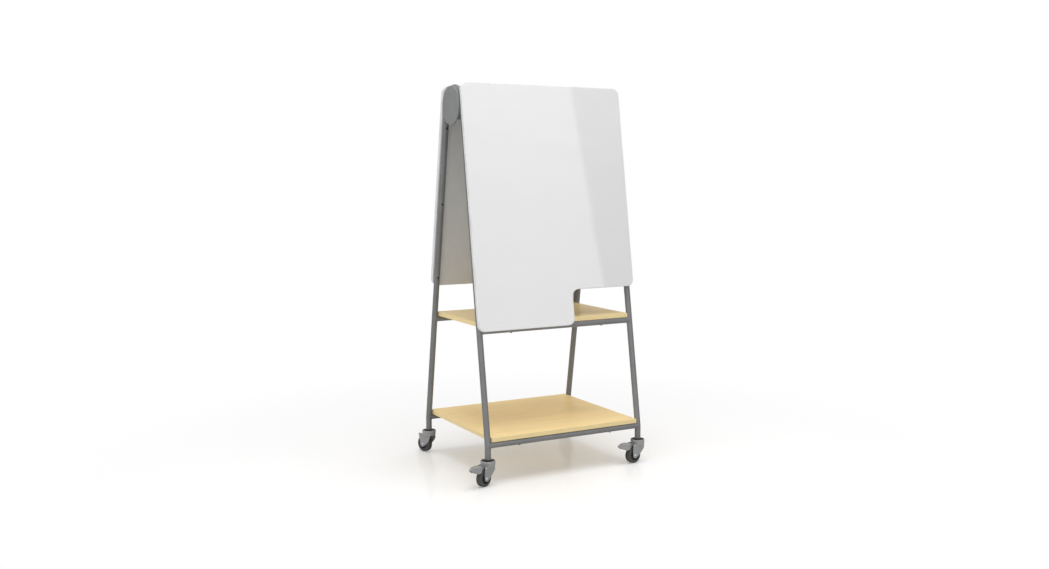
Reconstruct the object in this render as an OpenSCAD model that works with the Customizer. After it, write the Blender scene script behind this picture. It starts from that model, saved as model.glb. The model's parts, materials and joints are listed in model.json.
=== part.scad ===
// Rolling whiteboard: two L-shaped boards on a leaning tube frame with two shelves and four casters.
// Origin: on the floor, midway between the four caster stems. X runs along the boards, -Y is the front,
// +Z is up. Millimetres.

/* [Frame] */
// Distance between the left and the right side frame
leg_spacing_x = 731; // [640:1:800]
// Distance between the front and the rear caster stem
leg_spacing_y = 587; // [540:1:640]
// Outside diameter of the legs and crossbars
tube_d = 25.4; // [22:0.1:28]
// Wall of the legs and crossbars
tube_wall = 1.6; // [1.2:0.1:2.5]
// Height of the low bend where a leg starts to lean
bend_z = 160; // [154:1:185]
// Height of the arch centre, which is also the top beam's axis
hub_z = 1531; // [1450:1:1600]
// Centre-line radius of the arch that joins a front leg to its rear leg
arch_r = 74; // [72:1:75]
// Outside diameter of the top beam
beam_d = 114.3; // [90:0.1:115]
// Outside diameter of the end caps
cap_d = 161; // [160:1:170]

/* [Boards] */
// Width of a board
board_w = 762; // [740:1:790]
// Height of a board along its slope, tab included
board_h = 1016; // [980:1:1030]
// Thickness of a board
board_t = 19; // [16:0.5:22]
// Radius of the board corners
board_corner_r = 30; // [10:1:40]
// Width of the notch cut from a board's lower corner
notch_w = 311; // [200:1:400]
// Height of the notch along the slope
notch_h = 150; // [100:1:170]
// How far a board rises above the arch centre, along its slope
board_rise = 74; // [60:1:90]

/* [Shelves] */
// Thickness of the plywood
ply_t = 18; // [12:1:21]
// Height of the lower crossbars' axes
lower_bar_z = 162; // [160:1:195]
// Height of the upper crossbars' axes
upper_bar_z = 616; // [500:1:625]
// Distance of the shelf screws from the middle
shelf_screw_x = 220; // [100:1:300]

/* [Casters] */
// Diameter of the wheels
wheel_d = 70; // [66:1:72]
// Width of the tread
tread_w = 25; // [20:1:25]
// How far the wheel trails behind its stem
trail = 27; // [24:1:30]
// Heading of the front left caster
front_left_heading = 24; // [-180:1:180]
// Heading of the front right caster
front_right_heading = 9; // [-180:1:180]
// Heading of the rear left caster
rear_left_heading = -70; // [-180:1:180]
// Heading of the rear right caster
rear_right_heading = -86; // [-180:1:180]
// Turn of a brake pedal from off to locked
lock_angle = 12; // [8:1:14]

/* [Hidden] */
$fn = 72;

// Gaps: a hair between touching pieces, a running fit, a gap that a weld fills, and a lap inside a sweep
hair = 0.05;
run_gap = 0.05;
weld_gap = 0.25;
lap = 0.5;

// Frame geometry. A leg is the tangent from the low bend to the arch.
half_x = leg_spacing_x / 2;
half_y = leg_spacing_y / 2;
tube_r = tube_d / 2;
hub_rise = hub_z - bend_z;
lean = atan(half_y / hub_rise) - asin(arch_r / norm([half_y, hub_rise]));
low_bend_r = 60;
low_bend_start = bend_z - low_bend_r * tan(lean / 2);
lean_start = [-half_y + low_bend_r * (1 - cos(lean)), low_bend_start + low_bend_r * sin(lean)];
lean_length = (hub_z + arch_r * sin(lean) - lean_start.y) / cos(lean);
function leg_y(z) = half_y - (z - bend_z) * tan(lean);

// Caster heights, from the floor up
wheel_r = wheel_d / 2;
crown_floor_z = wheel_d + 8;
crown_floor_t = 3;
crown_top_z = crown_floor_z + 23.5;
crown_rim_h = 11;
socket_flange_t = 2.5;
stub_z = crown_top_z + 3.5;
crown_r = 30.5;
crown_wall = 3.5;
stem_r = 6;
race_r = 24;
race_t = 3;
ball_r = 2.5;
ball_ring_r = 20;
race_z = crown_floor_z + crown_floor_t + 2 * (ball_r + hair);
socket_depth = 40;

// Fork, wheel and pedal, in a caster's own frame: stem on Z, wheel towards -X
plate_t = 2.5;
plate_inner_y = 15.5;
plate_outer_y = plate_inner_y + plate_t;
plate_flare = 5;
bell_r = 28.5;
axle_r = 4;
axle_end_r = 13;
hub_half_w = plate_inner_y - 0.5;
tyre_t = 11;
ear_r = 6;
pivot = [-trail - 11, wheel_d + 10];
pin_r = 2;
skirt_outer_y = plate_inner_y + 2;
skirt_t = 1.5;
hood_t = 1.8;
pedal_reach = 76;
tongue_half_w = 8;
toe_half_w = 5;
toe_length = 8;

// Hub stack, outwards along X from the side frame
beam_wall = 2;
beam_end_x = half_x + tube_r + hair;
hub_plate_t = 2.5;
hub_plate_x = beam_end_x + hair;
hub_plate_r = cap_d / 2 - 2;
hub_screw_r = 3;
hub_screw_angles = [35, 90, 145];
hub_head_h = 1.8;
hub_head_r = 4.2;
hub_screw_length = 14;
rivet_nut_r = 4.5;
cap_face_t = 1.6;
cap_wall = 1.6;
cap_outer_x = hub_plate_x + hub_plate_t + hub_head_h + 0.2 + cap_face_t;

// Board stack, outwards from the legs, in the board's own frame: X right, Y up the slope, Z outwards
board_gap = 0.3;
board_z = arch_r + tube_r + board_gap;
laminate_t = 0.8;
face_t = 1;
edging_t = 3;
edging_round = 2.5;
board_left = -board_w / 2;
board_right = board_w / 2;
board_top = board_rise;
board_bottom = board_rise - board_h;
notch_x = board_right - notch_w;
notch_y = board_bottom + notch_h;

// Fasteners
screw_play = 0.3;
top_screw_y = -102;
board_screw_pitch = 324;
board_screw_ys = [for (i = [0:2]) top_screw_y - board_screw_pitch * i];
board_screw_r = 3;
board_head_r = 5.5;
board_head_h = 3.5;
insert_r = 5;
insert_depth = 12;
shelf_screw_r = 2.5;
shelf_screw_depth = 12;
shelf_head_r = 4.6;
shelf_head_h = 2.8;

// Colours
frame_grey = [0.47, 0.48, 0.48];
cap_grey = [0.52, 0.53, 0.52];
plywood = [0.88, 0.76, 0.53];
board_white = [0.93, 0.93, 0.93];
zinc = [0.68, 0.69, 0.69];
plastic_black = [0.08, 0.08, 0.08];
tyre_grey = [0.28, 0.28, 0.28];

// ---------------------------------------------------------------- frame

// A bend of a round bar: centre-line radius bend_r, starting on +X and turning towards +Y
module bar_bend(bend_r, angle, r) {
    rotate_extrude(angle = angle) translate([bend_r, 0]) circle(r = r + hair);
}

// One front leg with its stub and low bend, as a round bar of radius r, in the plane X = 0.
// The straight runs lap into the bends, which are a hair fatter.
module leg_bar(r, below) {
    translate([0, -half_y, stub_z - below]) cylinder(r = r, h = low_bend_start - stub_z + below + lap);
    translate([0, -half_y + low_bend_r, low_bend_start]) rotate([90, 0, -90]) bar_bend(low_bend_r, lean, r);
    translate([0, lean_start.x, lean_start.y]) rotate([-lean, 0, 0]) translate([0, 0, -lap])
        cylinder(r = r, h = lean_length + 2 * lap);
}

// Front leg, arch and rear leg in one sweep
module side_bar(r, below = 0) {
    leg_bar(r, below);
    mirror([0, 1, 0]) leg_bar(r, below);
    translate([0, 0, hub_z]) rotate([90, 0, -90]) rotate([0, 0, lean]) bar_bend(arch_r, 180 - 2 * lean, r);
}

// One bent tube: two legs and the arch over the top beam. side is -1 on the left, 1 on the right.
module side_frame(side) {
    color(frame_grey) difference() {
        translate([side * half_x, 0, 0]) side_bar(tube_r);
        translate([side * half_x, 0, 0]) side_bar(tube_r - tube_wall, below = 1);
        for (rear = [false, true], y = board_screw_ys)
            board_side(rear) translate([(rear ? -side : side) * half_x, y, arch_r - tube_d])
                cylinder(r = board_screw_r + screw_play, h = 2 * tube_d);
        at_hub_screws(side) cylinder(r = rivet_nut_r + 0.1, h = tube_r);
    }
}

// Crossbar between the side frames, coped round the legs
module crossbar(z, front) {
    y = front * leg_y(z);
    color(frame_grey) difference() {
        translate([-half_x, y, z]) rotate([0, 90, 0]) cylinder(r = tube_r, h = leg_spacing_x);
        translate([-half_x, y, z]) rotate([0, 90, 0]) cylinder(r = tube_r - tube_wall, h = leg_spacing_x);
        for (side = [-1, 1]) {
            translate([side * half_x, 0, 0]) side_bar(tube_r + weld_gap);
            translate([side * shelf_screw_x, y, z - tube_d])
                cylinder(r = shelf_screw_r + screw_play, h = 2 * tube_d);
        }
    }
}

// ---------------------------------------------------------------- hub

// Places children at one side's hub screws, on the plate's inner face with Z towards the middle
module at_hub_screws(side) {
    for (a = hub_screw_angles)
        translate([side * hub_plate_x, 0, hub_z]) rotate([a, 0, 0]) translate([0, arch_r, 0])
            rotate([0, -side * 90, 0]) children();
}

// Large round tube inside the two arches
module top_beam() {
    color(frame_grey) translate([-beam_end_x, 0, hub_z]) rotate([0, 90, 0]) difference() {
        cylinder(r = beam_d / 2, h = 2 * beam_end_x);
        translate([0, 0, -1]) cylinder(r = beam_d / 2 - beam_wall, h = 2 * beam_end_x + 2);
    }
}

// Steel disc welded on the beam's end and screwed to the arch
module beam_plate(side) {
    color(frame_grey) difference() {
        translate([side * hub_plate_x, 0, hub_z]) rotate([0, side * 90, 0])
            cylinder(r = hub_plate_r, h = hub_plate_t);
        at_hub_screws(side) translate([0, 0, -2 * hub_plate_t])
            cylinder(r = hub_screw_r + screw_play, h = 3 * hub_plate_t);
    }
}

// Shallow pressed cap over the plate and the screw heads, with a bevelled rim
module end_cap(side) {
    r = cap_d / 2;
    bevel = 1;
    color(cap_grey) translate([side * cap_outer_x, 0, hub_z]) rotate([0, -side * 90, 0])
        rotate_extrude() polygon([
            [0, 0], [r - bevel, 0], [r, bevel], [r, cap_outer_x - hub_plate_x],
            [r - cap_wall, cap_outer_x - hub_plate_x], [r - cap_wall, cap_face_t], [0, cap_face_t],
        ]);
}

// Low button-head screws through the plates
module hub_screws() {
    head_face = -hub_plate_t - hair;
    color(zinc) for (side = [-1, 1]) at_hub_screws(side) {
        translate([0, 0, head_face - hub_head_h]) cylinder(r = hub_head_r, h = hub_head_h);
        translate([0, 0, head_face - lap]) cylinder(r = hub_screw_r, h = hub_screw_length);
    }
}

// Threaded sleeves set in the arch tube
module hub_rivet_nuts() {
    color(zinc) for (side = [-1, 1]) at_hub_screws(side) difference() {
        translate([0, 0, 0.8]) cylinder(r = rivet_nut_r, h = 11);
        cylinder(r = hub_screw_r + hair, h = 13);
    }
}

// ---------------------------------------------------------------- boards

// Board frame: X right, Y up the slope from the arch centre, Z outwards
module on_board() {
    translate([0, 0, hub_z]) rotate([90 - lean, 0, 0]) children();
}

// A board turned to the front or, half a turn round, to the rear
module board_side(rear) {
    rotate([0, 0, rear ? 180 : 0]) on_board() children();
}

// Rectangle with round corners between two opposite corners
module round_rect(low, high, r) {
    size = high - low;
    translate(low + [r, 0]) square([size.x - 2 * r, size.y]);
    translate(low + [0, r]) square([size.x, size.y - 2 * r]);
    for (x = [low.x + r, high.x - r], y = [low.y + r, high.y - r]) translate([x, y]) circle(r = r);
}

// L-shaped outline of a board, drawn in by inset
module board_outline(inset) {
    r = board_corner_r - inset;
    inner_r = board_corner_r + inset;
    top_right = [board_right - inset, board_top - inset];
    round_rect([board_left + inset, notch_y + inset], top_right, r);
    round_rect([board_left + inset, board_bottom + inset], [notch_x - inset, top_right.y], r);
    difference() {
        translate([notch_x - inset, notch_y + inset - inner_r]) square(inner_r);
        translate([notch_x + board_corner_r, notch_y - board_corner_r]) circle(r = inner_r);
    }
}

// Flat layer of a board between two heights of the stack
module board_layer(low, high) {
    translate([0, 0, board_z + low]) linear_extrude(high - low) board_outline(edging_t + hair);
}

// Places children at the six screws of a board
module at_board_screws() {
    for (x = [-half_x, half_x], y = board_screw_ys) translate([x, y, 0]) children();
}

// Particle-board core with blind holes for the threaded inserts
module board_core(rear) {
    color(plywood) board_side(rear) difference() {
        board_layer(laminate_t, board_t - face_t);
        at_board_screws() cylinder(r = insert_r, h = board_z + laminate_t + insert_depth + 1);
    }
}

// Glossy writing sheet
module board_face(rear) {
    color(board_white) board_side(rear) board_layer(board_t - face_t, board_t);
}

// Balancing sheet on the leg side, pierced for the screws
module board_back(rear) {
    color([0.75, 0.75, 0.74]) board_side(rear) difference() {
        board_layer(0, laminate_t);
        at_board_screws() cylinder(r = board_screw_r + screw_play, h = board_z + 2);
    }
}

// Section of the edging: outer edge at X = 0, the board's thickness along Y
module edging_section() {
    intersection() {
        round_rect([-2 * edging_t, 0], [0, board_t], edging_round);
        translate([-edging_t, 0]) square([edging_t, board_t]);
    }
}

// Moulded edging run round the outline: straight runs joined by quarter turns
module board_edging(rear) {
    corners = [
        [board_left, board_bottom], [notch_x, board_bottom], [notch_x, notch_y],
        [board_right, notch_y], [board_right, board_top], [board_left, board_top],
    ];
    count = len(corners);
    r = board_corner_r;
    color(board_white) board_side(rear) translate([0, 0, board_z]) for (i = [0:count - 1]) {
        start = corners[i];
        span = corners[(i + 1) % count] - start;
        way = span / norm(span);
        heading = atan2(way.y, way.x);
        before = start - corners[(i + count - 1) % count];
        convex = before.x * span.y - before.y * span.x > 0;
        centre = start + way * r + (convex ? 1 : -1) * r * [-way.y, way.x];
        translate(start + way * r) rotate([90, 0, heading - 90]) mirror([0, 0, 1])
            linear_extrude(norm(span) - 2 * r) edging_section();
        translate(centre) rotate([0, 0, convex ? heading - 180 : heading + 90]) rotate_extrude(angle = 90)
            translate([r, 0]) {
                if (convex) edging_section();
                else mirror([1, 0]) edging_section();
            }
    }
}

// Screws from inside each leg into the boards
module board_screws() {
    head_z = arch_r - tube_r - hair;
    color(plastic_black) for (rear = [false, true]) board_side(rear) at_board_screws() {
        translate([0, 0, head_z - board_head_h]) cylinder(r = board_head_r, h = board_head_h);
        translate([0, 0, head_z - lap]) cylinder(r = board_screw_r, h = tube_d + insert_depth);
    }
}

// Threaded inserts in the board cores
module board_inserts() {
    color(zinc) for (rear = [false, true]) board_side(rear) at_board_screws()
        translate([0, 0, board_z + laminate_t + hair]) difference() {
            cylinder(r = insert_r - hair, h = insert_depth);
            translate([0, 0, -1]) cylinder(r = board_screw_r + hair, h = insert_depth + 2);
        }
}

// ---------------------------------------------------------------- shelves

// Plywood shelf lying on a pair of crossbars, between the side frames. It runs past_bar beyond their axes.
module shelf(bar_z, past_bar) {
    half_w = half_x - tube_r - 0.8;
    half_d = leg_y(bar_z) + past_bar;
    low = bar_z + tube_r + hair;
    color(plywood) difference() {
        translate([-half_w, -half_d, low]) cube([2 * half_w, 2 * half_d, ply_t]);
        at_shelf_screws(bar_z) translate([0, 0, tube_r])
            cylinder(r = shelf_screw_r + hair, h = shelf_screw_depth + 1);
    }
}

// Places children on the crossbar axes, at the four screws of a shelf
module at_shelf_screws(bar_z) {
    for (x = [-shelf_screw_x, shelf_screw_x], y = [-leg_y(bar_z), leg_y(bar_z)])
        translate([x, y, bar_z]) children();
}

// Pan-head screws up through the crossbars into the shelves
module shelf_screws() {
    color(plastic_black) for (bar_z = [lower_bar_z, upper_bar_z]) at_shelf_screws(bar_z) {
        translate([0, 0, -tube_r - shelf_head_h - hair]) cylinder(r = shelf_head_r, h = shelf_head_h);
        translate([0, 0, -tube_r - lap]) cylinder(r = shelf_screw_r, h = tube_d + shelf_screw_depth);
    }
}

// ---------------------------------------------------------------- casters

// Corner signs of a caster: 0 front left, 1 front right, 2 rear left, 3 rear right
function caster_place(i) = [(i % 2 == 0 ? -1 : 1) * half_x, (i < 2 ? -1 : 1) * half_y, 0];
caster_headings = [front_left_heading, front_right_heading, rear_left_heading, rear_right_heading];

// Moves children from a caster's own frame to its corner
module at_caster(i) {
    translate(caster_place(i)) rotate([0, 0, caster_headings[i]]) children();
}

// Plastic sockets pressed in the leg ends
module leg_sockets() {
    color(plastic_black) for (i = [0:3]) translate(caster_place(i)) difference() {
        union() {
            translate([0, 0, stub_z - socket_flange_t]) cylinder(r = tube_r, h = socket_flange_t - hair);
            translate([0, 0, stub_z - 1]) cylinder(r = tube_r - tube_wall - hair, h = socket_depth);
        }
        translate([0, 0, stub_z - 10]) cylinder(r = stem_r + hair, h = socket_depth + 20);
    }
}

// Stem with its upper race and the riveted head under the crown
module stem(i) {
    color(zinc) at_caster(i) {
        head_low = crown_floor_z - 3.5;
        translate([0, 0, head_low]) cylinder(r = stem_r, h = stub_z + socket_depth - 4 - head_low);
        translate([0, 0, head_low]) cylinder(r = 9, h = 3.5 - hair);
        translate([0, 0, race_z]) cylinder(r = race_r, h = race_t);
    }
}

// Dished black cover that keeps dust off the race
module dust_cover(i) {
    low = race_z + race_t + hair;
    inner = stem_r + 0.15;
    outer = crown_r - crown_wall - 0.6;
    color(plastic_black) at_caster(i) rotate_extrude() polygon([
        [inner, low], [outer, low], [outer, low + 3], [outer - 2, low + 5],
        [inner + 7, low + 8], [inner, low + 10],
    ]);
}

// Balls of all four swivels
module swivel_balls() {
    count = 16;
    color(zinc) for (i = [0:3], k = [0:count - 1]) at_caster(i) rotate([0, 0, k * 360 / count])
        translate([ball_ring_r, 0, race_z - ball_r - hair]) sphere(r = ball_r);
}

// Point on a quadratic curve from a to c, pulled towards b
function curve_point(a, b, c, t) = (1 - t) ^ 2 * a + 2 * t * (1 - t) * b + t ^ 2 * c;
function curve(a, b, c, steps) = [for (k = [0:steps]) curve_point(a, b, c, k / steps)];

// Fork seen from the side: X along the caster, Y up
module fork_side_outline() {
    axle = [-trail, wheel_r];
    lead = [22, crown_floor_z - 4];
    top = pivot.y + ear_r;
    difference() {
        union() {
            translate(axle) circle(r = axle_end_r);
            translate(pivot) circle(r = ear_r);
            polygon(concat(
                [pivot - [ear_r, 0], pivot - [ear_r / 2, 0], [pivot.x, top], [-lead.x, top], [lead.x, top]],
                curve(lead, lead - [1, 24], axle + axle_end_r * [cos(-50), sin(-50)], 10),
                [axle, axle - [axle_end_r, 0]]
            ));
        }
        translate(axle) circle(r = axle_r + hair);
        translate(pivot) circle(r = pin_r + run_gap);
    }
}

// Fork seen from above and from the front, drawn in by inset: round under the crown, flat towards the
// ears, and flared from the axle up to the crown
module fork_envelope(inset) {
    low_y = plate_outer_y - inset;
    high_y = low_y + plate_flare;
    flare_z = wheel_r + axle_end_r;
    top = pivot.y + 2 * ear_r;
    reach = trail + 4 * ear_r;
    intersection() {
        linear_extrude(top) {
            circle(r = bell_r - inset);
            translate([-reach, -high_y]) square([reach, 2 * high_y]);
        }
        translate([-reach, 0, 0]) rotate([90, 0, 90]) linear_extrude(2 * reach) polygon([
            [-low_y, 0], [low_y, 0], [low_y, flare_z], [high_y, crown_floor_z], [high_y, top],
            [-high_y, top], [-high_y, crown_floor_z], [-low_y, flare_z],
        ]);
    }
}

// Fork: a cup for the swivel race and two flared legs
module fork(i) {
    low = crown_floor_z;
    floor_top = low + crown_floor_t;
    rim_z = crown_top_z - crown_rim_h;
    bore = stem_r + run_gap;
    inner_r = crown_r - crown_wall;
    color(zinc) at_caster(i) {
        rotate_extrude() polygon([
            [bore, low], [crown_r - 2.5, low], [crown_r - 1, low + 1.5], [crown_r - 1, rim_z],
            [crown_r, rim_z + 1], [crown_r, crown_top_z - 1.5], [crown_r - 1.5, crown_top_z],
            [inner_r + 0.5, crown_top_z], [inner_r, crown_top_z - 0.5], [inner_r, floor_top], [bore, floor_top],
        ]);
        difference() {
            intersection() {
                slab(2 * bell_r) fork_side_outline();
                fork_envelope(0);
            }
            fork_envelope(plate_t);
            translate([0, 0, floor_top]) cylinder(r = inner_r + 1, h = crown_top_z);
        }
    }
}

// Rivet through both plates and the wheel
module axle(i) {
    head_t = 2;
    outer = plate_outer_y + hair;
    color(zinc) at_caster(i) translate([-trail, 0, wheel_r]) rotate([90, 0, 0]) rotate_extrude() polygon([
        [0, -outer - head_t], [axle_r, -outer - head_t], [axle_r + 2.5, -outer], [axle_r, -outer],
        [axle_r, outer], [axle_r + 2.5, outer], [axle_r, outer + head_t], [0, outer + head_t],
    ]);
}

// Wheel core with hub, web and rim, turning on the axle
module wheel(i) {
    rim_r = wheel_r - tyre_t;
    rim_w = tread_w / 2 - 1;
    bore = axle_r + run_gap;
    half = [
        [bore, hub_half_w], [8.5, hub_half_w], [10, hub_half_w - 1.5], [11.5, 5],
        [rim_r - 5, 4], [rim_r - 3, rim_w], [rim_r, rim_w],
    ];
    mirrored = [for (k = [len(half) - 1:-1:0]) [half[k].x, -half[k].y]];
    color(plastic_black) at_caster(i) translate([-trail, 0, wheel_r]) rotate([90, 0, 0])
        rotate_extrude() polygon(concat(half, mirrored));
}

// Rubber tread with round shoulders
module tyre(i) {
    inner = wheel_r - tyre_t + hair;
    shoulder_r = 3.5;
    color(tyre_grey) at_caster(i) translate([-trail, 0, wheel_r]) rotate([90, 0, 0]) rotate_extrude()
        intersection() {
            round_rect([inner - 2 * shoulder_r, -tread_w / 2], [wheel_r, tread_w / 2], shoulder_r);
            translate([inner, -tread_w]) square([wheel_r, 2 * tread_w]);
        }
}

// Slab of a side-view outline, centred across the caster
module slab(width) {
    translate([0, width / 2, 0]) rotate([90, 0, 0]) linear_extrude(width) children();
}

// Pedal seen from the side: a hood that starts at the pivot and runs out past the wheel to a short toe
module pedal_side_outline() {
    toe = pivot - [pedal_reach, 0];
    neck = toe + [toe_length, 0];
    heel = pivot + [-36, -17];
    translate(pivot) circle(r = 5);
    polygon(concat(
        curve(pivot + [3, 6], pivot + [-38, 15], neck + [0, 7], 10),
        [toe + [1.5, 7], toe + [0, 5.5], toe + [0, 0.5], toe + [1.5, -1]],
        curve(neck + [0, -1], neck + [2, -10], heel, 6),
        [pivot + [-3, -9], pivot + [4, -3]]
    ));
}

// Pedal seen from above, drawn in by inset: a tongue between the ears, a hood as wide as the fork, and
// the toe
module pedal_plan(inset) {
    wide = skirt_outer_y - inset;
    toe_x = pivot.x - pedal_reach + inset;
    neck_x = pivot.x - pedal_reach + toe_length;
    root_x = pivot.x - 16 - inset;
    half = [
        [0, tongue_half_w - inset], [root_x, tongue_half_w - inset], [root_x - 4, wide], [root_x - 16, wide],
        [neck_x + 3, toe_half_w + 4 - inset], [neck_x, toe_half_w - inset], [toe_x + 1.5, toe_half_w - inset],
        [toe_x, toe_half_w - 1.5 - inset],
    ];
    polygon(concat(half, [for (k = [len(half) - 1:-1:0]) [half[k].x, -half[k].y]]));
}

module pedal_body(inset) {
    intersection() {
        slab(2 * skirt_outer_y) pedal_side_outline();
        linear_extrude(crown_top_z) pedal_plan(inset);
    }
}

// Foot pedal: hollow hood with side skirts and grip ribs near its toe
module pedal(i) {
    rib_h = 0.9;
    rib_w = 1.4;
    rib_pitch = 3.5;
    rib_inset = 1.5;
    first_rib_x = pivot.x - pedal_reach + toe_length + 3;
    color(zinc) at_caster(i) difference() {
        union() {
            pedal_body(0);
            for (k = [0:3]) intersection() {
                translate([0, 0, rib_h]) pedal_body(rib_inset);
                translate([first_rib_x + rib_pitch * k, -skirt_outer_y, pivot.y])
                    cube([rib_w, 2 * skirt_outer_y, crown_top_z]);
            }
        }
        translate([0, 0, -hood_t]) pedal_body(skirt_t);
        slab(4 * skirt_outer_y) translate(pivot) circle(r = pin_r + run_gap);
    }
}

// Rubber shoe under the hood. Its foot is cut to the wheel as it stands when the pedal is locked.
module brake_shoe(i) {
    arm = [-trail, wheel_r] - pivot;
    locked = pivot + [
        arm.x * cos(lock_angle) + arm.y * sin(lock_angle),
        arm.y * cos(lock_angle) - arm.x * sin(lock_angle),
    ];
    color(plastic_black) at_caster(i) slab(2 * (tongue_half_w - skirt_t - hair)) difference() {
        union() {
            intersection() {
                translate([0, -hood_t - hair]) pedal_side_outline();
                translate(pivot + [-26, -20]) square([18, 40]);
            }
            translate(pivot + [-24, -18]) square([14, 16]);
        }
        translate(locked) circle(r = wheel_r + 0.3);
    }
}

// Pin on which the pedal turns, headed on both sides of the fork
module pedal_pin(i) {
    outer = plate_outer_y + plate_flare + hair;
    head_t = 1.2;
    color(zinc) at_caster(i) translate([pivot.x, 0, pivot.y]) rotate([90, 0, 0]) rotate_extrude() polygon([
        [0, -outer - head_t], [pin_r, -outer - head_t], [pin_r + 1.2, -outer], [pin_r, -outer],
        [pin_r, outer], [pin_r + 1.2, outer], [pin_r, outer + head_t], [0, outer + head_t],
    ]);
}

side_frame(-1);  // side_frame_left
side_frame(1);  // side_frame_right
crossbar(lower_bar_z, -1);  // lower_bar_front
crossbar(lower_bar_z, 1);  // lower_bar_rear
crossbar(upper_bar_z, -1);  // upper_bar_front
crossbar(upper_bar_z, 1);  // upper_bar_rear
shelf(lower_bar_z, past_bar = 10);  // lower_shelf
shelf(upper_bar_z, past_bar = 6);  // upper_shelf
shelf_screws();
top_beam();
beam_plate(-1);  // beam_plate_left
beam_plate(1);  // beam_plate_right
end_cap(-1);  // end_cap_left
end_cap(1);  // end_cap_right
hub_screws();
hub_rivet_nuts();
board_core(false);  // front_board_core
board_face(false);  // front_board_face
board_back(false);  // front_board_back
board_edging(false);  // front_board_edging
board_core(true);  // rear_board_core
board_face(true);  // rear_board_face
board_back(true);  // rear_board_back
board_edging(true);  // rear_board_edging
board_screws();
board_inserts();
leg_sockets();
swivel_balls();
stem(0);  // stem_front_left
stem(1);  // stem_front_right
stem(2);  // stem_rear_left
stem(3);  // stem_rear_right
dust_cover(0);  // dust_cover_front_left
dust_cover(1);  // dust_cover_front_right
dust_cover(2);  // dust_cover_rear_left
dust_cover(3);  // dust_cover_rear_right
fork(0);  // fork_front_left
fork(1);  // fork_front_right
fork(2);  // fork_rear_left
fork(3);  // fork_rear_right
axle(0);  // axle_front_left
axle(1);  // axle_front_right
axle(2);  // axle_rear_left
axle(3);  // axle_rear_right
wheel(0);  // wheel_front_left
wheel(1);  // wheel_front_right
wheel(2);  // wheel_rear_left
wheel(3);  // wheel_rear_right
tyre(0);  // tyre_front_left
tyre(1);  // tyre_front_right
tyre(2);  // tyre_rear_left
tyre(3);  // tyre_rear_right
pedal(0);  // pedal_front_left
pedal(1);  // pedal_front_right
brake_shoe(0);  // brake_shoe_front_left
brake_shoe(1);  // brake_shoe_front_right
pedal_pin(0);  // pedal_pin_front_left
pedal_pin(1);  // pedal_pin_front_right
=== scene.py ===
"""Looks of the rolling whiteboard: finishes, small made pieces, floor, lights and camera."""
import math

import bmesh
import bpy
from mathutils import Matrix, Vector
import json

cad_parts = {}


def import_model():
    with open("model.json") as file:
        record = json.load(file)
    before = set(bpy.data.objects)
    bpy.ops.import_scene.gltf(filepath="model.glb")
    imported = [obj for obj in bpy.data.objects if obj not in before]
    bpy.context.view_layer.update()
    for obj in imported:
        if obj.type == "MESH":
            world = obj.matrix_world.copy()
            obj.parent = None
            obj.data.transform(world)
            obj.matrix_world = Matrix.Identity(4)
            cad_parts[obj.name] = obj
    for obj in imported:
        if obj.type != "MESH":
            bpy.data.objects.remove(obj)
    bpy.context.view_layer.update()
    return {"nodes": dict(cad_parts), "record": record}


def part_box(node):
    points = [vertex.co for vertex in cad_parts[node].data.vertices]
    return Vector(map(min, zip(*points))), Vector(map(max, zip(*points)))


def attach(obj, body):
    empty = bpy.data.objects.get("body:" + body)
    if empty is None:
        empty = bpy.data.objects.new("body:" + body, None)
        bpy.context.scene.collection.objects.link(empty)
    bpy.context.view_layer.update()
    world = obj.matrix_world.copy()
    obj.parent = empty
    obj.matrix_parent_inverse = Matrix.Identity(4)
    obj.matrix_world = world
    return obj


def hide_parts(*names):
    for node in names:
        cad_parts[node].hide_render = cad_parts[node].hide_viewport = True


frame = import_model()

MM = 0.001
NODES = frame["nodes"]
CORNERS = ("front_left", "front_right", "rear_left", "rear_right")


# ---------------------------------------------------------------- node helpers

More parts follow.
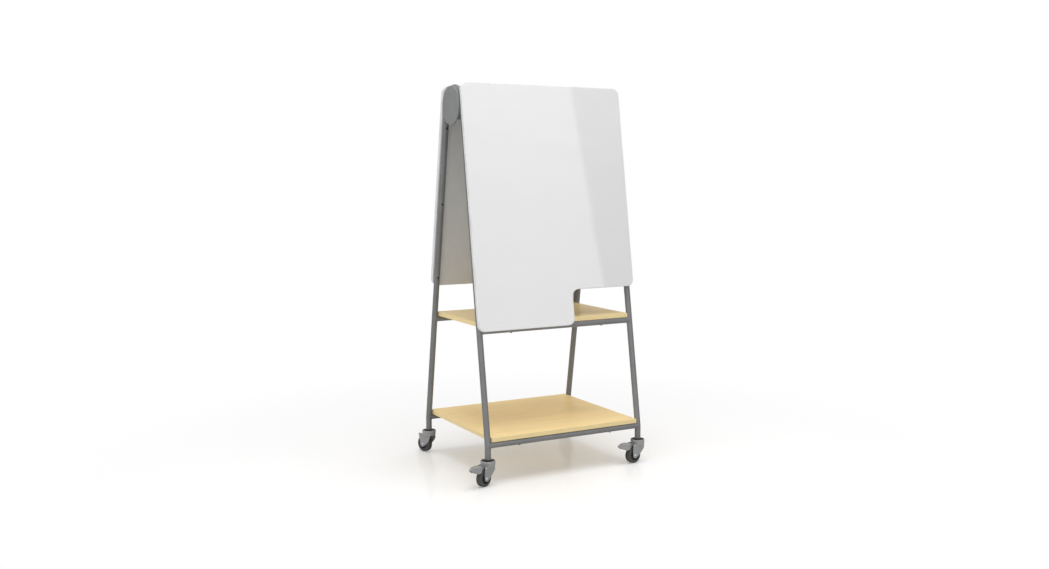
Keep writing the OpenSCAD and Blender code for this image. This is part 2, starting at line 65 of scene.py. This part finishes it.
class Nodes:
    """Short calls that build one node tree."""

    def __init__(self, tree):
        self.tree = tree
        tree.nodes.clear()

    def add(self, kind, inputs=None, **settings):
        """A new node, with its settings and its inputs: an input is a value or another node's output."""
        node = self.tree.nodes.new(kind)
        for name, value in settings.items():
            setattr(node, name, value)
        for name, value in (inputs or {}).items():
            socket = node.inputs[name]
            if isinstance(value, bpy.types.NodeSocket):
                self.tree.links.new(value, socket)
            else:
                socket.default_value = value
        return node

    def math(self, operation, a, b=0.0, c=0.0):
        """Output of a math node."""
        return self.add("ShaderNodeMath", {0: a, 1: b, 2: c}, operation=operation).outputs[0]

    def place(self, scale=(1, 1, 1), offset=(0, 0, 0)):
        """Object position in metres, scaled and shifted."""
        spot = self.add("ShaderNodeTexCoord").outputs["Object"]
        return self.add("ShaderNodeMapping", {"Vector": spot, "Scale": scale, "Location": offset}).outputs[0]

    def noise(self, vector, scale, detail=3.0, roughness=0.5, distortion=0.0):
        """Noise value from 0 to 1 about 0.5."""
        inputs = {"Vector": vector, "Scale": scale, "Detail": detail, "Roughness": roughness,
                  "Distortion": distortion}
        return self.add("ShaderNodeTexNoise", inputs).outputs["Fac"]

    def ramp(self, value, low, high, to_low=0.0, to_high=1.0):
        """Value taken from low..high to to_low..to_high, with smooth ends."""
        inputs = {"Value": value, "From Min": low, "From Max": high, "To Min": to_low, "To Max": to_high}
        node = self.add("ShaderNodeMapRange", inputs, interpolation_type="SMOOTHSTEP")
        return node.outputs[0]

    def mix(self, factor, a, b):
        """Colour between a and b."""
        node = self.add("ShaderNodeMix", data_type="RGBA")
        for index, value in ((0, factor), (6, a), (7, b)):
            if isinstance(value, bpy.types.NodeSocket):
                self.tree.links.new(value, node.inputs[index])
            else:
                node.inputs[index].default_value = value
        return node.outputs[2]

    def bump(self, height, strength, distance, normal=None):
        """Normal bent by a height value; distance is in metres."""
        inputs = {"Height": height, "Strength": strength, "Distance": distance}
        if normal is not None:
            inputs["Normal"] = normal
        return self.add("ShaderNodeBump", inputs).outputs[0]

    def surface(self, **inputs):
        """Principled surface, linked to the output."""
        named = {name.replace("_", " "): value for name, value in inputs.items()}
        shader = self.add("ShaderNodeBsdfPrincipled", named)
        self.add("ShaderNodeOutputMaterial", {"Surface": shader.outputs[0]})


def grey(value):
    return (value, value, value, 1.0)


def tint(r, g, b):
    return (r, g, b, 1.0)


def scaled(colour, factor):
    return tuple(c * factor for c in colour[:3]) + (1.0,)


def new_material(name):
    material = bpy.data.materials.new(name)
    material.use_nodes = True
    return material, Nodes(material.node_tree)


# ---------------------------------------------------------------- materials

# Maple under clear lacquer: the veneer on top, and the paler plies on the cut edges; the edge colour is made
# paler still as painted light, for the stronger light the edges catch
TOP_PALE = tint(0.95, 0.725, 0.35)
EDGE_PALE_AND_PAINTED_LIGHT = tint(0.97, 0.775, 0.415)
SHELF_THICK = 18 * MM
PLIES = 13


def powder_coat(name, colour, roughness=0.42, grain=1400):
    """Satin powder coat: a fine orange-peel grain, and slow drifts of shade and sheen."""
    material, n = new_material(name)
    spot = n.place()
    drift = n.noise(spot, 9, 2)
    fine = n.noise(spot, grain, 2, 0.6)
    shade = n.mix(n.ramp(drift, 0.3, 0.7), scaled(colour, 0.94), scaled(colour, 1.05))
    sheen = n.ramp(n.noise(spot, 35, 3), 0.3, 0.7, roughness - 0.04, roughness + 0.06)
    normal = n.bump(fine, 0.25, 0.12 * MM)
    n.surface(Base_Color=shade, Roughness=sheen, Normal=normal)
    return material


def maple_plywood(name):
    """Lacquered plywood: calm long maple figure on the faces, stacked plies on the edges."""
    material, n = new_material(name)
    spot = n.place()
    coords = n.add("ShaderNodeTexCoord")
    normal = n.add("ShaderNodeSeparateXYZ", {"Vector": coords.outputs["Normal"]})
    on_face = n.ramp(n.math("ABSOLUTE", normal.outputs[2]), 0.55, 0.8)
    on_end = n.ramp(n.math("ABSOLUTE", normal.outputs[0]), 0.55, 0.8)

    figure = n.noise(n.place((0.8, 5.5, 5.5)), 1.6, 2, 0.5, 0.5)
    rings = n.math("PINGPONG", n.math("MULTIPLY", figure, 7.0), 0.5)
    fibre = n.noise(n.place((9, 380, 380)), 1.0, 3, 0.6)
    streak = n.noise(n.place((2.5, 60, 60), (3, 1, 0)), 1.0, 3, 0.5)
    face = n.mix(n.ramp(rings, 0.0, 0.5), TOP_PALE, scaled(TOP_PALE, 0.93))
    face = n.mix(n.ramp(streak, 0.35, 0.7, 0.0, 0.5), face, scaled(TOP_PALE, 1.05))
    face = n.mix(n.ramp(fibre, 0.3, 0.75, 0.0, 0.5), face, scaled(TOP_PALE, 0.90))

    height = n.add("ShaderNodeSeparateXYZ", {"Vector": spot}).outputs[2]
    layer = n.math("DIVIDE", height, SHELF_THICK / PLIES)
    parity = n.math("FLOORED_MODULO", n.math("FLOOR", layer), 2.0)
    long_grain = n.math("ABSOLUTE", n.math("SUBTRACT", parity, on_end))
    glue_line = n.ramp(n.math("PINGPONG", layer, 0.5), 0.0, 0.06, 1.0, 0.0)
    pores = n.noise(n.place((900, 900, 900)), 1.0, 2)
    # Edge colour: the plies' own paler tone plus painted light, brighter than the top to stand in for the
    # edges' stronger light
    end_grain = n.mix(n.ramp(pores, 0.35, 0.7), scaled(EDGE_PALE_AND_PAINTED_LIGHT, 0.98), scaled(EDGE_PALE_AND_PAINTED_LIGHT, 0.84))
    edge = n.mix(long_grain, end_grain, n.mix(n.ramp(fibre, 0.3, 0.75), EDGE_PALE_AND_PAINTED_LIGHT, scaled(EDGE_PALE_AND_PAINTED_LIGHT, 0.93)))
    edge = n.mix(n.math("MULTIPLY", glue_line, 0.22), edge, scaled(EDGE_PALE_AND_PAINTED_LIGHT, 0.5))

    colour = n.mix(on_face, edge, face)
    relief = n.bump(fibre, 0.10, 0.05 * MM)
    relief = n.bump(n.math("ADD", n.math("MULTIPLY", long_grain, -0.6), pores), 0.15, 0.08 * MM, relief)
    rough = n.ramp(n.noise(spot, 30, 3), 0.3, 0.7, 0.30, 0.38)
    n.surface(Base_Color=colour, Roughness=rough, Normal=relief, IOR=1.2)
    return material


def writing_enamel(name):
    """Glossy white writing sheet: near-mirror gloss, faintly wavy, with slightly duller rubbed drifts."""
    material, n = new_material(name)
    spot = n.place()
    wave = n.noise(spot, 14, 2)
    rubbed = n.noise(n.place((2.2, 6.0, 6.0)), 1.6, 4, 0.6, 0.4)
    roughness = n.ramp(rubbed, 0.35, 0.7, 0.012, 0.035)
    shade = n.mix(n.ramp(rubbed, 0.3, 0.75), tint(0.796, 0.796, 0.796), tint(0.782, 0.784, 0.786))
    normal = n.bump(wave, 0.05, 0.4 * MM)
    n.surface(Base_Color=shade, Roughness=roughness, Normal=normal, IOR=1.62)
    return material


def moulded(name, colour, roughness=0.4, grain=900, unevenness=0.07):
    """Moulded plastic, or black-coated steel: a fine grain and a slightly uneven shade and sheen."""
    material, n = new_material(name)
    spot = n.place()
    fine = n.noise(spot, grain, 3, 0.6)
    drift = n.noise(spot, 25, 3)
    shade = n.mix(n.ramp(drift, 0.3, 0.7), scaled(colour, 1 - unevenness), scaled(colour, 1 + unevenness))
    sheen = n.ramp(drift, 0.3, 0.7, roughness + 0.06, roughness - 0.04)
    n.surface(Base_Color=shade, Roughness=sheen, Normal=n.bump(fine, 0.3, 0.08 * MM))
    return material


def tyre_rubber(name):
    """Dark grey tread: patches of dust and a fine matt grain."""
    material, n = new_material(name)
    spot = n.place()
    dust = n.noise(spot, 160, 4, 0.65)
    shade = n.mix(n.ramp(dust, 0.45, 0.7, 0.0, 0.6), tint(0.058, 0.058, 0.057), tint(0.100, 0.097, 0.093))
    n.surface(Base_Color=shade, Roughness=0.62, Normal=n.bump(n.noise(spot, 1100, 2), 0.4, 0.12 * MM))
    return material


def bright_steel(name):
    """Zinc-plated steel: cool grey with cloudy plating."""
    material, n = new_material(name)
    spot = n.place()
    cloud = n.noise(spot, 240, 4, 0.6)
    shade = n.mix(n.ramp(cloud, 0.35, 0.7), tint(0.50, 0.50, 0.51), tint(0.66, 0.66, 0.66))
    rough = n.ramp(cloud, 0.3, 0.7, 0.24, 0.4)
    n.surface(Base_Color=shade, Metallic=1.0, Roughness=rough, Normal=n.bump(cloud, 0.15, 0.05 * MM))
    return material


def particle_board(name):
    """Raw particle board: pressed chips in several browns."""
    material, n = new_material(name)
    chips = n.add("ShaderNodeTexVoronoi", {"Vector": n.place(), "Scale": 420}).outputs["Color"]
    value = n.add("ShaderNodeSeparateColor", {"Color": chips}).outputs[0]
    shade = n.mix(value, tint(0.50, 0.36, 0.21), tint(0.70, 0.56, 0.38))
    n.surface(Base_Color=shade, Roughness=0.85, Normal=n.bump(value, 0.5, 0.3 * MM))
    return material


FINISHES = {
    "frame_paint": powder_coat("frame_paint_finish", tint(0.190, 0.192, 0.194)),
    "cap_grey": powder_coat("cap_grey_finish", tint(0.235, 0.247, 0.245), 0.5, 1100),
    "maple_plywood": maple_plywood("maple_plywood_finish"),
    "board_core": particle_board("board_core_finish"),
    "writing_face": writing_enamel("writing_face_finish"),
    "board_back": moulded("board_back_finish", tint(0.755, 0.757, 0.750), 0.45, 700, unevenness=0.012),
    "board_edging": moulded("board_edging_finish", tint(0.80, 0.80, 0.80), 0.3),
    "black_screw": moulded("black_screw_finish", tint(0.035, 0.035, 0.037), 0.32),
    "bright_steel": bright_steel("bright_steel_finish"),
    "fork_metal": powder_coat("fork_metal_finish", tint(0.33, 0.333, 0.335), 0.36, 900),
    "black_plastic": moulded("black_plastic_finish", tint(0.028, 0.028, 0.028), 0.4),
    "tyre_rubber": tyre_rubber("tyre_rubber_finish"),
}


def finish_nodes():
    """Gives each CAD node the finish of its material slot."""
    for part in frame["record"]["subparts"]:
        mesh = NODES[part["node"]].data
        mesh.materials.clear()
        mesh.materials.append(FINISHES[part["material_slot"]])


# ---------------------------------------------------------------- CAD edges

# Faces closer than this are joined, and flat is flat within this angle
JOIN_WITHIN = 0.002 * MM
FLAT_WITHIN = math.radians(0.6)


def ease_edges(obj, width, angle=32, segments=3):
    """Rounds a CAD node's sharp edges: joins its faces, drops the edges inside flats, then bevels."""
    mesh = obj.data
    if "custom_normal" in mesh.attributes:
        mesh.attributes.remove(mesh.attributes["custom_normal"])
    mesh.polygons.foreach_set("use_smooth", [True] * len(mesh.polygons))
    weld = obj.modifiers.new("join_faces", "WELD")
    weld.merge_threshold = JOIN_WITHIN
    flats = obj.modifiers.new("clear_flats", "DECIMATE")
    flats.decimate_type = "DISSOLVE"
    flats.angle_limit = FLAT_WITHIN
    bevel = obj.modifiers.new("ease", "BEVEL")
    bevel.width = width
    bevel.segments = segments
    bevel.limit_method = "ANGLE"
    bevel.angle_limit = math.radians(angle)
    bevel.use_clamp_overlap = False
    bevel.harden_normals = True


def ease_all():
    for name in ("lower_shelf", "upper_shelf"):
        ease_edges(NODES[name], 0.9 * MM)
    for name in ("end_cap_left", "end_cap_right"):
        ease_edges(NODES[name], 0.35 * MM)
    for corner in CORNERS:
        ease_edges(NODES["fork_" + corner], 0.5 * MM)
        ease_edges(NODES["wheel_" + corner], 0.4 * MM)
        ease_edges(NODES["axle_" + corner], 0.3 * MM)
    for corner in CORNERS[:2]:
        ease_edges(NODES["pedal_" + corner], 0.45 * MM)
        ease_edges(NODES["pedal_pin_" + corner], 0.2 * MM)


# ---------------------------------------------------------------- made pieces

def ring_of(radius, segments):
    """A ring about Z as pairs of radius and angle; radius is a number or a function of the angle."""
    angles = [2 * math.pi * k / segments for k in range(segments)]
    return [((radius(a) if callable(radius) else radius), a) for a in angles]


def lathe(bm, rings, placed, segments=36):
    """Skin through rings of (radius, height) about Z, closed at both ends; placed moves each point."""
    skins = []
    for radius, height in rings:
        points = [Vector((r * math.cos(a), r * math.sin(a), height)) for r, a in ring_of(radius, segments)]
        skins.append([bm.verts.new(placed @ point) for point in points])
    for low, high in zip(skins, skins[1:]):
        for k in range(segments):
            after = (k + 1) % segments
            bm.faces.new((low[k], low[after], high[after], high[k]))
    bm.faces.new(list(reversed(skins[0])))
    bm.faces.new(skins[-1])


def finished(name, bm, body, slot, node=None, sharp=35):
    """Makes the mesh an object with its slot's finish, riding on a body; it stands for node if given."""
    bmesh.ops.recalc_face_normals(bm, faces=bm.faces)
    mesh = bpy.data.meshes.new(name)
    bm.to_mesh(mesh)
    bm.free()
    mesh.polygons.foreach_set("use_smooth", [True] * len(mesh.polygons))
    mesh.set_sharp_from_angle(angle=math.radians(sharp))
    mesh.materials.append(FINISHES[slot])
    obj = bpy.data.objects.new(name, mesh)
    bpy.context.scene.collection.objects.link(obj)
    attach(obj, body)
    if node:
        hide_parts(node)
    return obj


def solids(node):
    """The separate solids of a CAD node, each as a list of its points."""
    bm = bmesh.new()
    bm.from_mesh(NODES[node].data)
    bmesh.ops.remove_doubles(bm, verts=bm.verts, dist=0.001 * MM)
    seen = set()
    found = []
    for start in bm.verts:
        points, waiting = [], [start]
        while waiting:
            vert = waiting.pop()
            if vert not in seen:
                seen.add(vert)
                points.append(vert.co.copy())
                waiting += [edge.other_vert(vert) for edge in vert.link_edges]
        if points:
            found.append(points)
    bm.free()
    return found


def hexagon(flat):
    """Radius of a hexagon as a function of the angle; flat is the distance from its middle to a side."""
    return lambda a: flat / math.cos((a % (math.pi / 3)) - math.pi / 6)


def screw_rings(head_r, head_h, shank_r, length):
    """Rings of a button-head socket screw, from the socket's floor round the head to the shank's tip."""
    crown_r, brim = 0.5 * head_r, 0.2 * head_h
    socket = 0.36 * head_r
    dome = []
    for k in range(1, 7):
        a = math.radians(15 * k)
        dome.append((crown_r + (head_r - crown_r) * math.sin(a), -(head_h - brim) * (1 - math.cos(a))))
    return [
        (hexagon(socket), -0.6 * head_h), (hexagon(socket), -0.12 * head_h),
        (1.28 * socket, 0.0), (crown_r, 0.0), *dome,
        (head_r, -head_h + 0.25 * brim), (head_r - 0.25 * brim, -head_h), (shank_r, -head_h),
        (shank_r, -length + 0.3 * shank_r), (0.7 * shank_r, -length),
    ]


def socket_screws(name, node, way_of, head_h, shank_r):
    """Builds a node's screws again with round heads and hexagon sockets, each head facing way_of(middle)."""
    bm = bmesh.new()
    for points in solids(node):
        middle = sum(points, Vector()) / len(points)
        way = way_of(middle)
        reach = [point.dot(way) for point in points]
        top = max(reach)
        rim = [point for point, r in zip(points, reach) if r > top - 0.01 * MM]
        centre = sum(rim, Vector()) / len(rim)
        head_r = max((point - centre).length for point in rim)
        placed = Matrix.Translation(centre) @ way.to_track_quat("Z", "Y").to_matrix().to_4x4()
        lathe(bm, screw_rings(head_r, head_h, shank_r, top - min(reach)), placed)
    return finished(name, bm, "frame", "black_screw", node)


def face_axis(mount):
    """Outward direction of a mount in the record."""
    return Vector(next(m["axis"] for m in frame["record"]["mounts"] if m["name"] == mount))


def middle_of(node):
    low, high = (Vector(corner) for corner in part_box(node))
    return (low + high) / 2


# Weld bead: points round a joint and round the bead, its radius and its ripples
BEAD_STEPS = 192
BEAD_SIDES = 8
BEAD_GAP = 0.12 * MM
BEAD_LEAST = 0.8 * MM
BEAD_SWELL = 0.8 * MM
BEAD_RIPPLES = 44
BEAD_RIPPLE = 0.07


def bead_line(joint, across, along, inward, bar_r):
    """Where a bar's round meets its leg's round: points of the closed line, and the way out of both."""
    points, outward = [], []
    for k in range(BEAD_STEPS):
        a = 2 * math.pi * k / BEAD_STEPS
        p, t = bar_r * math.cos(a), bar_r * math.sin(a)
        off = Vector((inward * math.sqrt((bar_r + BEAD_GAP) ** 2 - p ** 2), 0, 0))
        points.append(joint + across * p + along * t + off)
        bar_normal = (across * p + along * t).normalized()
        leg_normal = (across * p + off).normalized()
        outward.append((bar_normal + leg_normal).normalized())
    return points, outward


def bead(bm, points, outward):
    """Rippled round bead along a closed line, fullest in the corners at its two sides."""
    turns = [2 * math.pi * j / BEAD_SIDES for j in range(BEAD_SIDES)]
    rings = []
    for k in range(BEAD_STEPS):
        a = 2 * math.pi * k / BEAD_STEPS
        way = (points[(k + 1) % BEAD_STEPS] - points[k - 1]).normalized()
        up = (outward[k] - way * outward[k].dot(way)).normalized()
        flank = way.cross(up)
        ripple = 1 + BEAD_RIPPLE * math.sin(BEAD_RIPPLES * a)
        r = (BEAD_LEAST + BEAD_SWELL * abs(math.sin(a))) * ripple
        around = [points[k] + (up * math.cos(b) + flank * math.sin(b)) * r for b in turns]
        rings.append([bm.verts.new(point) for point in around])
    for k in range(BEAD_STEPS):
        here, there = rings[k], rings[(k + 1) % BEAD_STEPS]
        for j in range(BEAD_SIDES):
            after = (j + 1) % BEAD_SIDES
            bm.faces.new((here[j], here[after], there[after], there[j]))


def weld_beads():
    """A bead round each end of the crossbars, where the bar meets its leg."""
    bm = bmesh.new()
    for bar in ("lower_bar_front", "lower_bar_rear", "upper_bar_front", "upper_bar_rear"):
        low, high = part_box(bar)
        bar_r = (high[2] - low[2]) / 2
        face = face_axis("front_writing_face" if "front" in bar else "rear_writing_face")
        # The lower bars meet the legs in their bend, where a leg has half its lean
        lean = face.z * (0.5 if "lower" in bar else 1.0)
        across = Vector((0.0, face.y, lean)).normalized()
        along = Vector((0.0, -across.z, across.y)) if across.y > 0 else Vector((0.0, across.z, -across.y))
        for side_frame, inward in (("side_frame_left", 1), ("side_frame_right", -1)):
            joint = Vector((middle_of(side_frame).x, *middle_of(bar).yz))
            points, outward = bead_line(joint, across, along, inward, bar_r)
            bead(bm, points, outward)
    return finished("weld_beads", bm, "frame", "frame_paint", sharp=80)


def made_pieces():
    front, rear = face_axis("front_writing_face"), face_axis("rear_writing_face")
    down = Vector((0, 0, -1))

    def off_board(at):
        return -front if at.y < 0 else -rear

    socket_screws("board_socket_screws", "board_screws", off_board, head_h=3.5 * MM, shank_r=3 * MM)
    socket_screws("shelf_socket_screws", "shelf_screws", lambda at: down, head_h=2.8 * MM, shank_r=2.5 * MM)
    weld_beads()


# ---------------------------------------------------------------- stage

# How pale the floor looks to the camera, and how much of its shading is lifted to plain white
FLOOR_SEEN = 1.16
FLOOR_LIFT = 0.20
# Light from all round, and what glossy surfaces see of the two softboxes
SKY = 0.62
SOFTBOX_BRIGHT = 1.95
SOFTBOX_DARK = 0.35
REAR_GLOSS = 0.3
# The front softbox's right edge is upright, this far round from -Y towards +X
SOFTBOX_EDGE = math.radians(33.35)
# Side of the three square fill lights, which don't light the floor
FILL_SIZE = 2.4
# Camera: in front and to the left, at chest height
CAMERA_AT = (-2.2742, -4.0654, 1.2616)
CAMERA_TILT = math.radians(83.96)
CAMERA_TURN = math.radians(-28.84)
LENS_MM = 36.78


def floor():
    """Pale glossy floor that keeps its soft shadows near the object and fades to plain white further out."""
    reach = 30.0
    mesh = bpy.data.meshes.new("studio_floor")
    corners = [(-reach, -reach, 0), (reach, -reach, 0), (reach, reach, 0), (-reach, reach, 0)]
    mesh.from_pydata(corners, [], [(0, 1, 2, 3)])
    obj = bpy.data.objects.new("studio_floor", mesh)
    bpy.context.scene.collection.objects.link(obj)
    material, n = new_material("studio_floor_finish")
    spot = n.place()
    distance = n.add("ShaderNodeVectorMath", {0: spot}, operation="LENGTH").outputs["Value"]
    path = n.add("ShaderNodeLightPath")
    seen = path.outputs["Is Camera Ray"]
    albedo = n.mix(seen, grey(0.80), grey(FLOOR_SEEN))
    near = n.add("ShaderNodeBsdfPrincipled", {"Base Color": albedo, "Roughness": 0.16, "IOR": 1.3})
    white = n.add("ShaderNodeEmission", {"Color": grey(1.0), "Strength": 1.0})
    fade = n.ramp(distance, 0.9, 2.2, FLOOR_LIFT, 1.0)
    share = n.math("MULTIPLY", fade, seen)
    both = n.add("ShaderNodeMixShader", {0: share, 1: near.outputs[0], 2: white.outputs[0]})
    n.add("ShaderNodeOutputMaterial", {"Surface": both.outputs[0]})
    mesh.materials.append(material)
    return obj


def world():
    """White studio: plain white to the camera, soft fill for shading, and two upright softboxes for gloss."""
    sky = bpy.data.worlds.new("studio")
    bpy.context.scene.world = sky
    sky.use_nodes = True
    n = Nodes(sky.node_tree)
    way = n.add("ShaderNodeTexCoord").outputs["Generated"]
    edge_normal = (-math.cos(SOFTBOX_EDGE), -math.sin(SOFTBOX_EDGE), 0.0)
    side = n.add("ShaderNodeVectorMath", {0: way, 1: edge_normal}, operation="DOT_PRODUCT").outputs["Value"]
    parts = n.add("ShaderNodeSeparateXYZ", {"Vector": way})
    front = n.ramp(parts.outputs[1], -0.02, 0.02, 1.0, -1.0)
    lit = n.ramp(n.math("MULTIPLY", side, front), -0.004, 0.004)
    gloss = n.ramp(lit, 0.0, 1.0, SOFTBOX_DARK, SOFTBOX_BRIGHT)
    gloss = n.math("MULTIPLY", gloss, n.ramp(front, -1.0, 1.0, REAR_GLOSS, 1.0))
    path = n.add("ShaderNodeLightPath")
    level = n.mix(path.outputs["Is Glossy Ray"], grey(SKY), gloss)
    level = n.mix(path.outputs["Is Camera Ray"], level, grey(1.0))
    back = n.add("ShaderNodeBackground", {"Color": level, "Strength": 1.0})
    n.add("ShaderNodeOutputWorld", {"Surface": back.outputs[0]})


def area_light(name, place, aim, size, power, spared=()):
    """Square soft light that aims at a point; the spared objects don't receive it."""
    light = bpy.data.lights.new(name, "AREA")
    light.shape = "SQUARE"
    light.size = size
    light.energy = power
    obj = bpy.data.objects.new(name, light)
    obj.location = place
    obj.visible_glossy = False
    obj.rotation_euler = (Vector(aim) - Vector(place)).to_track_quat("-Z", "Y").to_euler()
    bpy.context.scene.collection.objects.link(obj)
    if spared:
        receivers = bpy.data.collections.new(name + "_receivers")
        obj.light_linking.receiver_collection = receivers
        for thing in spared:
            receivers.objects.link(thing)
        for linked in receivers.collection_objects:
            linked.light_linking.link_state = "EXCLUDE"


def camera():
    """Camera in front and to the left, level with somebody's chest."""
    data = bpy.data.cameras.new("camera")
    data.sensor_width = 36.0
    data.lens = LENS_MM
    obj = bpy.data.objects.new("camera", data)
    obj.location = CAMERA_AT
    obj.rotation_euler = (CAMERA_TILT, 0.0, CAMERA_TURN)
    bpy.context.scene.collection.objects.link(obj)
    bpy.context.scene.camera = obj


finish_nodes()
ease_all()
made_pieces()
ground = floor()
world()
area_light("overhead", (-0.1, -0.7, 4.2), (0, 0, 0.4), size=3.0, power=86)
area_light("front_fill", (-1.0, -4.4, 1.6), (0, 0, 0.7), FILL_SIZE, power=7, spared=[ground])
area_light("left_fill", (-4.5, -0.5, 1.4), (0, 0, 0.7), FILL_SIZE, power=32, spared=[ground])
area_light("rear_fill", (1.8, 4.3, 2.0), (0, 0, 0.9), FILL_SIZE, power=52, spared=[ground])
camera()
bpy.context.scene.view_settings.view_transform = "Standard"
